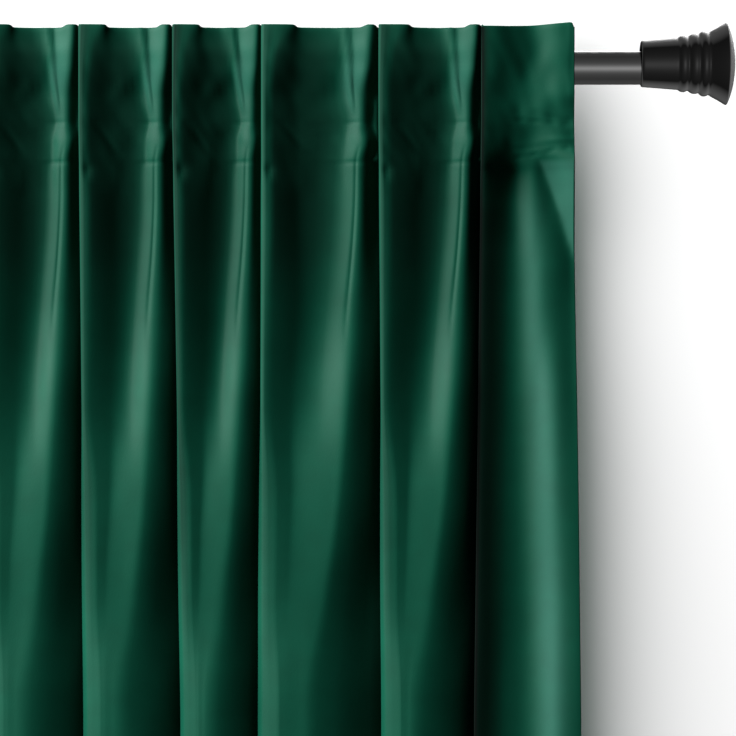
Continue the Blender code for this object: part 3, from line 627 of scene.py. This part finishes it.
def end_shade_and_light(point, across, z):
    """Painted shade and highlight on the end panel: shade near its edge, highlight on its ridge and
    corner.
    """
    # painted shade on the front edge and, below the heading, near it; painted highlight right of the
    # valley and along the ridge
    rim = (1.0 - EDGE_SHADES[-1]) * bell(point - EDGE_PLACE, 1.1)
    shade = END_INNER_SHADE * ramp(point, 5.0, 3.0) * ramp(z, SEAM_Z - 0.018, SEAM_Z - 0.038)
    valley_highlight = VALLEY_HIGHLIGHT / (1.0 + math.exp(-past_valley(across, z)))
    below = ramp(z, SEAM_Z + 0.003, SEAM_Z - 0.001)
    ridge = read_row(END_RIDGE_HIGHLIGHT, z)
    gain = ridge["gain"] * bell(across - ridge["x"], END_RIDGE_WIDTH)
    return (1.0 - shade) * (1.0 - rim) * (1.0 + valley_highlight * below) * (1.0 + gain)


def cloth_row(z):
    """The section at height z with its creases, as points and their painted shade and highlight."""
    curve = spline(cage(z), column_steps())
    frames = [
        fold_frame(fold, next_fold, z)
        for fold, next_fold in zip(FOLDS, FOLDS[1:] + [END_PANEL])
    ]
    count = len(FOLD_STEPS)
    end_start, end_stop = edge_x(END_PANEL, z), edge_x(END_EDGE, z)
    points, looks = [], []
    for x, depth, place in curve:
        fold, point = int(place // count), place % count
        along_end = 0.0
        if fold >= len(FOLDS):
            across = x - end_start
            along_end = across / (end_stop - end_start)
            looks.append(end_shade_and_light(place - count * len(FOLDS), across, z))
            depth += wrinkle(x, z) + end_crease(across, z)
        else:
            looks.append(fold_shade_and_light(fold, point, z))
            if point < SLIT_POINT:
                depth = min(depth, depth_limit(z))
                depth += fold_crease(frames[fold], z, x)
                depth += wrinkle(x, z) * ramp(point, 1.0, 2.0)
        points.append((x, FRONT_Y + depth, z + top_lift(depth, along_end, z)))
    return points, looks


def top_lift(depth, along_end, z):
    """How far the heading's top edge stands above TOP_Z; along_end runs 0 to 1 on the end panel."""
    share = ramp(z, PINCH_Z, TOP_Z)
    front = ramp(depth, 0.0052, 0.0022)
    lift = TOP_WAVE * front * front * (3.0 - 2.0 * front) - TOP_DROP
    if along_end > 0.0:
        corner = 1.0 - math.sqrt(1.0 - ramp(along_end, CORNER_START, 1.0) ** 2)
        lift = 0.0006 + CORNER_RISE * along_end ** 2 - CORNER_DROP * corner
    return lift * share ** 3


def wrinkle(x, z):
    """Gentle unevenness of cloth that was folded and hung, strongest in the heading."""
    heading = ramp(z, SEAM_Z - 0.03, SEAM_Z)
    broad = noise.noise(Vector((x * 38.0, 3.1, z * 11.0)))
    small = noise.noise(Vector((x * 95.0 + z * 40.0, 7.7, z * 60.0)))
    return WRINKLE_DEPTH * (broad + heading * small)


def cloth_heights():
    """Heights of the cloth's rows from the top edge to the hem."""
    heights = [TOP_Z]
    for band in ROW_BANDS:
        span = heights[-1] - band["low"]
        count = round(span / band["step"])
        start = heights[-1]
        heights += [start - span * (i + 1) / count for i in range(count)]
    return heights


def grid_faces(first, rows, columns):
    """Faces of a grid whose points are numbered row by row from first."""
    faces = []
    for r in range(rows - 1):
        for c in range(columns - 1):
            a = first + r * columns + c
            faces.append((a, a + columns, a + columns + 1, a + 1))
    return faces


def grid_object(name, grids, material):
    """Smooth open sheets, each a list of rows of points, in one object."""
    verts, faces = [], []
    for rows in grids:
        faces += grid_faces(len(verts), len(rows), len(rows[0]))
        verts += [point for row in rows for point in row]
    mesh = bpy.data.meshes.new(name)
    mesh.from_pydata(verts, [], faces)
    mesh.shade_smooth()
    mesh.materials.append(material)
    piece = bpy.data.objects.new(name, mesh)
    bpy.context.scene.collection.objects.link(piece)
    return piece


def shifted(points, distance, lift=0.0):
    """A row of the cloth moved square to itself: + is back, towards the wall."""
    moved = []
    last = len(points) - 1
    for i, (x, y, z) in enumerate(points):
        before, after = points[max(i - 1, 0)], points[min(i + 1, last)]
        along = Vector((after[0] - before[0], after[1] - before[1]))
        along.normalize()
        moved.append((x - along.y * distance, y + along.x * distance, z + lift))
    return moved


def turned_rows(points, side):
    """Rows round a folded edge, from its back to its face: side is 1 at the top, -1 at the hem."""
    rows = []
    for angle in (150.0, 120.0, 90.0, 60.0, 30.0):
        turn = math.radians(angle)
        rows.append(shifted(points, -LAYER * math.cos(turn), side * LAYER * math.sin(turn)))
    return rows


def side_hem(rows, at_start):
    """The hem along one side of the cloth: from its stitched line behind, round the edge."""
    hem = []
    for points in rows:
        ordered = points if at_start else points[::-1]
        run, count = 0.0, 1
        while run < SIDE_HEM:
            run += math.dist(ordered[count - 1][:2], ordered[count][:2])
            count += 1
        sign = 1.0 if at_start else -1.0
        back = shifted(ordered[:count + 1], sign * (LAYER + HEM_STEP))[:HEM_COLUMNS_MAX]
        step = (len(back) - 1) / (HEM_COLUMNS - 1)
        strip = [back[round(k * step)] for k in range(HEM_COLUMNS)][::-1]
        edge = Vector(ordered[0])
        out = edge - Vector(ordered[1])
        out.z = 0.0
        out.normalize()
        behind = Vector(back[0]) - edge
        for angle in (45.0, 90.0, 135.0):
            turn = math.radians(angle)
            reach = edge + behind * math.cos(turn) + out * (LAYER * math.sin(turn))
            strip.append(tuple(reach))
        strip.append(shifted(ordered[:3], -sign * LAYER)[0])
        hem.append(strip)
    return hem


# ---- Materials ----
def new_material(name, **settings):
    """A node material with the given shader inputs, and its node tree and shader."""
    material = bpy.data.materials.new(name)
    material.use_nodes = True
    shader = material.node_tree.nodes["Principled BSDF"]
    set_inputs(shader, settings)
    return material, material.node_tree, shader


def set_inputs(node, settings):
    """Set a node's inputs by name, with _ for the spaces in the names."""
    for name, value in settings.items():
        node.inputs[name.replace("_", " ")].default_value = value


def add_node(tree, kind, **settings):
    """A new node with the given inputs."""
    node = tree.nodes.new(kind)
    set_inputs(node, settings)
    return node


def velvet_material():
    """Deep green pile: soft mottling, fine grain, and the painted shade and highlight of its layer."""
    material, tree, shader = new_material(
        "velvet", Specular_IOR_Level=0.19, Sheen_Weight=0.1, Sheen_Roughness=0.4,
        Sheen_Tint=(0.12, 0.85, 0.62, 1.0),
    )
    links = tree.links
    place = add_node(tree, "ShaderNodeTexCoord")
    # the layer of painted shade and highlight: below 1 it darkens the colour, above 1 it lightens it
    layer = add_node(tree, "ShaderNodeAttribute")
    layer.attribute_name = "painted_shade_and_light"
    dull = add_node(tree, "ShaderNodeMapRange", To_Min=1.0, To_Max=0.6)
    links.new(layer.outputs["Fac"], dull.inputs["Value"])
    links.new(dull.outputs["Result"], shader.inputs["Roughness"])

    mottle = add_node(tree, "ShaderNodeTexNoise", Scale=55.0, Detail=4.0)
    links.new(place.outputs["Object"], mottle.inputs["Vector"])
    spread = add_node(tree, "ShaderNodeMapRange", To_Min=0.86, To_Max=1.14)
    links.new(mottle.outputs["Fac"], spread.inputs["Value"])
    both = add_node(tree, "ShaderNodeMath")
    both.operation = "MULTIPLY"
    links.new(spread.outputs["Result"], both.inputs[0])
    links.new(layer.outputs["Fac"], both.inputs[1])
    colour = add_node(tree, "ShaderNodeVectorMath")
    colour.operation = "SCALE"
    colour.inputs[0].default_value = VELVET_GREEN
    links.new(both.outputs["Value"], colour.inputs["Scale"])
    # painted highlight tint: where the layer is above 1 a paler colour is added, in full at 2
    extra = add_node(tree, "ShaderNodeMapRange", From_Min=1.0, From_Max=2.0)
    links.new(layer.outputs["Fac"], extra.inputs["Value"])
    pale = add_node(tree, "ShaderNodeVectorMath")
    pale.operation = "MULTIPLY_ADD"
    pale.inputs[1].default_value = HIGHLIGHT_TINT
    links.new(extra.outputs["Result"], pale.inputs[0])
    links.new(colour.outputs["Vector"], pale.inputs[2])
    links.new(pale.outputs["Vector"], shader.inputs["Base Color"])

    grain = add_node(tree, "ShaderNodeTexNoise", Scale=900.0, Detail=2.0)
    links.new(place.outputs["Object"], grain.inputs["Vector"])
    bump = add_node(tree, "ShaderNodeBump", Strength=0.10, Distance=0.0005)
    links.new(grain.outputs["Fac"], bump.inputs["Height"])
    links.new(bump.outputs["Normal"], shader.inputs["Normal"])
    return material


def store_shading_layer(piece, looks):
    """Store a value for each point of a mesh, as its layer of painted shade and highlight."""
    piece.data.attributes.new("painted_shade_and_light", "FLOAT", "POINT").data.foreach_set("value", looks)


def make_drape(velvet):
    """The cloth: its face, the heading and hem folded to the back, and the side hems."""
    face = [cloth_row(z) for z in cloth_heights()]
    rows = [points for points, looks in face]
    facing_step = (TOP_Z - FACING_LOW) / FACING_ROWS
    facing = [cloth_row(FACING_LOW + facing_step * i)[0] for i in range(FACING_ROWS)]
    hem_step = BOTTOM_HEM / HEM_ROWS
    hem = [cloth_row(HEM_Z + hem_step * (i + 1))[0] for i in range(HEM_ROWS)]
    sheet = [shifted(points, LAYER) for points in facing]
    sheet += turned_rows(rows[0], 1)
    looks = [1.0] * (len(sheet) * len(rows[0]))
    sheet += [shifted(points, -LAYER) for points in rows]
    sheet += turned_rows(rows[-1], -1)[::-1]
    sheet += [shifted(points, LAYER) for points in hem]
    sides = [side_hem(rows, at_start) for at_start in (True, False)]
    drape = grid_object("drape", [sheet] + sides, velvet)
    for points, row_looks in face:
        looks += row_looks
    looks += [1.0] * (len(drape.data.vertices) - len(looks))
    store_shading_layer(drape, looks)
    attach(drape, "root")
    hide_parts("drape_panel")


# ---- Back tabs ----
def tab_path():
    """Side view of a back tab: sewn end, over the rod and round its back, sewn end."""
    sewn_y = TROUGH_Y + CLOTH_THICKNESS / 2 + FIT_GAP + TAB_THICKNESS / 2
    radius = ROD_RADIUS + FIT_GAP + TAB_THICKNESS / 2
    top_y = sewn_y - (TROUGH_DEPTH - TOP_DEPTH)
    upper = (top_y, TOP_Z - TAB_SEAM - 0.001)
    lower = (sewn_y, PINCH_Z + TAB_SEAM)

    def tangent(point, side):
        """Angle at which the line from a point touches the tab's turn round the rod."""
        reach = math.hypot(*point)
        return math.atan2(point[1], point[0]) + side * math.acos(radius / reach)

    first = tangent(upper, -1)
    last = tangent(lower, 1) - 2.0 * math.pi
    while last > first:
        last -= 2.0 * math.pi
    while first - last > 2.0 * math.pi:
        last += 2.0 * math.pi
    turn = [first + (last - first) * i / TAB_TURN_STEPS for i in range(TAB_TURN_STEPS + 1)]
    path = [(top_y, upper[1] + TAB_SEAM), upper]
    path += [(radius * math.cos(a), radius * math.sin(a)) for a in turn]
    return path + [lower, (sewn_y, PINCH_Z)]


def make_tabs(velvet):
    """One back tab for each trough: a band of folded velvet with rounded edges."""
    path = tab_path()
    for number, (fold, next_fold) in enumerate(zip(FOLDS, FOLDS[1:] + [END_PANEL]), start=1):
        upper = fold_points(fold, next_fold, TOP_Z)[DEEPEST_POINT]
        lower = fold_points(fold, next_fold, PINCH_Z)[DEEPEST_POINT]
        centre = (upper[0] + lower[0]) / 2
        rows = []
        for i, (y, z) in enumerate(path):
            before, after = path[max(i - 1, 0)], path[min(i + 1, len(path) - 1)]
            along = Vector((after[0] - before[0], after[1] - before[1])).normalized()
            rows.append([
                (centre + x, y + along.y * out, z - along.x * out) for x, out in TAB_OUTLINE
            ])
        node = f"back_tab_{number:02d}"
        tab = grid_object("tab_" + node[-2:], [rows], velvet)
        store_shading_layer(tab, [1.0] * len(tab.data.vertices))
        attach(tab, "root")
        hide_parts(node)


# ---- Rod and finials ----
def dark_material(name, grey, roughness, gloss, rim):
    """Dark smooth finish with a painted reflection: its colour is painted paler at glancing angles, for a
    bright room.
    """
    material, tree, shader = new_material(name, Roughness=roughness, Specular_IOR_Level=gloss)
    # painted reflection: the base colour runs from grey to rim as the surface turns away from the view
    glance = add_node(tree, "ShaderNodeLayerWeight", Blend=0.25)
    pale = add_node(
        tree, "ShaderNodeMapRange", From_Min=0.14, From_Max=0.45, To_Min=grey, To_Max=rim
    )
    tree.links.new(glance.outputs["Facing"], pale.inputs["Value"])
    tree.links.new(pale.outputs["Result"], shader.inputs["Base Color"])
    return material


def lathe(name, profile, material, segments):
    """Surface turned about +X through (along, radius) points."""
    rows = [
        [
            (along, radius * math.cos(angle), radius * math.sin(angle))
            for angle in (2.0 * math.pi * k / segments for k in range(segments + 1))
        ]
        for along, radius in profile
    ]
    piece = grid_object(name, [rows], material)
    shape = bmesh.new()
    shape.from_mesh(piece.data)
    bmesh.ops.remove_doubles(shape, verts=shape.verts, dist=0.00002)
    bmesh.ops.recalc_face_normals(shape, faces=shape.faces)
    shape.to_mesh(piece.data)
    shape.free()
    piece.data.set_sharp_from_angle(angle=math.radians(50.0))
    return piece


def finial_profile():
    """Outline of a finial: its open mouth, ribbed outside and domed end."""
    profile = [(MOUTH_DEPTH, 0.0), (MOUTH_DEPTH, MOUTH_RADIUS), (0.0, MOUTH_RADIUS)]
    return profile + [(row["along"], row["radius"]) for row in FINIAL_OUTLINE]


def make_hardware():
    """The rod and its two finials."""
    # rim: colour of the painted reflection at glancing angles
    metal = dark_material("rod_paint", grey=0.040, roughness=0.46, gloss=0.5, rim=0.14)
    plastic = dark_material("finial_plastic", grey=0.009, roughness=0.50, gloss=0.13, rim=0.30)
    reach = FINIAL_START + MOUTH_DEPTH - ROD_END_GAP
    inner = ROD_RADIUS - ROD_WALL
    profile = [(-reach, inner), (-reach, ROD_RADIUS), (reach, ROD_RADIUS), (reach, inner)]
    rod = lathe("curtain_rod", profile, metal, 64)
    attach(rod, "root")
    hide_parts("rod")
    pieces = [rod]
    for side, node in ((1, "finial_right"), (-1, "finial_left")):
        finial = lathe("turned_" + node, finial_profile(), plastic, 96)
        finial.data.transform(Matrix.Diagonal((side, 1.0, 1.0, 1.0)))
        if side < 0:
            finial.data.flip_normals()
        finial.location = (side * FINIAL_START, 0.0, FINIAL_RISE)
        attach(finial, "root")
        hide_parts(node)
        pieces.append(finial)
    return pieces


# ---- Stage ----
def white_paint(name, grey):
    """White paint that glows a little, so shadows on it stay pale."""
    return new_material(
        name, Base_Color=(grey, grey, grey, 1.0), Roughness=0.9,
        Emission_Color=(1.0, 1.0, 1.0, 1.0), Emission_Strength=STAGE_GLOW,
    )


def backdrop_material():
    """White paint that is clear from behind, so that the back of the drape can be seen."""
    paint, tree, shader = white_paint("backdrop_paint", 0.90)
    clear = add_node(tree, "ShaderNodeBsdfTransparent")
    side = add_node(tree, "ShaderNodeNewGeometry")
    mix = add_node(tree, "ShaderNodeMixShader")
    output = tree.nodes["Material Output"]
    tree.links.new(side.outputs["Backfacing"], mix.inputs["Fac"])
    tree.links.new(shader.outputs["BSDF"], mix.inputs[1])
    tree.links.new(clear.outputs["BSDF"], mix.inputs[2])
    tree.links.new(mix.outputs["Shader"], output.inputs["Surface"])
    return paint


def make_stage():
    """Wall behind the rod and floor under the hem. The wall casts no shadow."""
    bpy.ops.mesh.primitive_plane_add(size=1.0)
    backdrop = bpy.context.object
    backdrop.name = "backdrop"
    backdrop.scale = (*WALL_SIZE, 1.0)
    backdrop.rotation_euler = (math.pi / 2, 0.0, 0.0)
    backdrop.location = (0.0, WALL_Y, HEM_Z + WALL_MIDDLE)
    backdrop.visible_shadow = False
    backdrop.data.materials.append(backdrop_material())
    bpy.ops.mesh.primitive_plane_add(size=FLOOR_SIZE, location=(0.0, 0.0, HEM_Z - FLOOR_DROP))
    floor = bpy.context.object
    floor.name = "floor"
    floor.data.materials.append(white_paint("floor_paint", 0.80)[0])
    for piece in (backdrop, floor):
        piece.visible_diffuse = False
        piece.visible_glossy = False
    return backdrop, floor


# ---- Lamps and camera ----
def area_light(name, target):
    """Soft square lamp from the table LAMPS, turned towards its target."""
    row = LAMPS[name]
    light = bpy.data.lights.new(name, "AREA")
    light.shape = "SQUARE"
    light.size = row["size"]
    light.energy = row["power"]
    lamp = bpy.data.objects.new(name, light)
    turn, lift = math.radians(row["azimuth"]), math.radians(row["elevation"])
    away = Vector((
        -math.sin(turn) * math.cos(lift), -math.cos(turn) * math.cos(lift), math.sin(lift)
    ))
    lamp.location = Vector(target) + away * row["distance"]
    lamp.rotation_euler = (-away).to_track_quat("-Z", "Y").to_euler()
    bpy.context.scene.collection.objects.link(lamp)
    return lamp


def light_group(name, pieces, state):
    """Collection of pieces that light linking includes (INCLUDE) or leaves out (EXCLUDE)."""
    group = bpy.data.collections.new(name)
    for piece in pieces:
        group.objects.link(piece)
    for entry in group.collection_objects:
        entry.light_linking.link_state = state
    return group


def light_only(lamp, pieces, state):
    """Let a lamp light only these pieces (INCLUDE), or all but them (EXCLUDE)."""
    lamp.light_linking.receiver_collection = light_group(lamp.name + "_receivers", pieces, state)


def make_light(stage, hardware):
    """A key lamp for the velvet, others for the wall, the hardware and the back, and the world."""
    light_only(area_light("key", DRAPE_TARGET), [*stage, *hardware], "EXCLUDE")
    wall_light = area_light("wall_light", DRAPE_TARGET)
    light_only(wall_light, stage, "INCLUDE")
    unshaded = light_group("wall_light_unshaded", hardware, "EXCLUDE")
    wall_light.light_linking.blocker_collection = unshaded
    light_only(area_light("rod_light", ROD_TARGET), hardware, "INCLUDE")
    light_only(area_light("back", DRAPE_TARGET), stage, "EXCLUDE")
    world = bpy.data.worlds.new("studio")
    world.use_nodes = True
    set_inputs(world.node_tree.nodes["Background"], dict(Color=(1, 1, 1, 1), Strength=WORLD_GLOW))
    bpy.context.scene.world = world
    bpy.context.scene.view_settings.view_transform = "Standard"


def make_camera():
    """Camera square to the rod's axis, aimed at the middle of the picture."""
    data = bpy.data.cameras.new("camera")
    data.sensor_width = SENSOR
    data.lens = SENSOR * CAMERA_DISTANCE / VIEW_WIDTH
    camera = bpy.data.objects.new("camera", data)
    camera.location = (CAMERA_AIM[0], -CAMERA_DISTANCE, CAMERA_AIM[1])
    camera.rotation_euler = (math.pi / 2, 0.0, 0.0)
    bpy.context.scene.collection.objects.link(camera)
    bpy.context.scene.camera = camera


make_camera()
pile = velvet_material()
make_drape(pile)
make_tabs(pile)
make_light(make_stage(), make_hardware())
